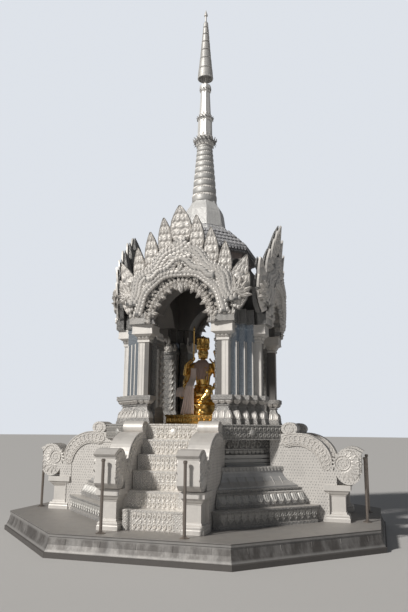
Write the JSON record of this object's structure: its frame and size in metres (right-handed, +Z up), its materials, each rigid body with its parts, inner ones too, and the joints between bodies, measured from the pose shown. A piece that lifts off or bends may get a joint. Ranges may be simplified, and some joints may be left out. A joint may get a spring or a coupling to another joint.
{
  "type": "spirit house",
  "caption": "Silver-clad four-faced shrine pavilion on an octagonal stepped base with four stairs, flame-crested arches, an octagonal roof, a ringed spire and a gilded statue inside",
  "frame": {"origin": "middle of the footprint, on the ground", "axes": "+Z up, the front stair faces -Y, a side stair faces +X"},
  "size_m": [5.74, 5.74, 9.536],
  "materials": {
    "silver_sheet": "embossed, satin",
    "base_sheet": "embossed, weathered",
    "roof_sheet": "embossed, darkened",
    "gold": "gilded",
    "steel": "brushed",
    "cloth": "woven"
  },
  "bodies": {
    "root": {"platform": "base_sheet", "rail_posts": "steel", "base_core": "base_sheet", "base_step_low": "base_sheet", "base_step_mid": "base_sheet", "base_step_high": "base_sheet", "terrace_slab": "base_sheet", "tread_1": "base_sheet", "tread_2": "base_sheet", "tread_3": "base_sheet", "tread_4": "base_sheet", "tread_5": "base_sheet", "balustrade_front": "silver_sheet", "balustrade_right": "silver_sheet", "balustrade_back": "silver_sheet", "balustrade_left": "silver_sheet", "newels": "silver_sheet", "pier_bases": "silver_sheet", "pier_shafts": "silver_sheet", "pier_capitals": "silver_sheet", "imposts": "silver_sheet", "arch_front": "silver_sheet", "arch_right": "silver_sheet", "arch_back": "silver_sheet", "arch_left": "silver_sheet", "pediment_front": "silver_sheet", "pediment_right": "silver_sheet", "pediment_back": "silver_sheet", "pediment_left": "silver_sheet", "porch_vaults": "roof_sheet", "upper_wall": "roof_sheet", "roof_drum": "roof_sheet", "roof_eave": "roof_sheet", "roof_slope": "roof_sheet", "roof_bell": "roof_sheet", "spire_cone": "silver_sheet", "spire_lotus": "silver_sheet", "spire_shaft": "silver_sheet", "spire_neck": "silver_sheet", "mast": "silver_sheet", "umbrellas": "silver_sheet", "statue_pedestal": "gold", "statue": "gold", "sash": "cloth"}
  },
  "joints": []
}
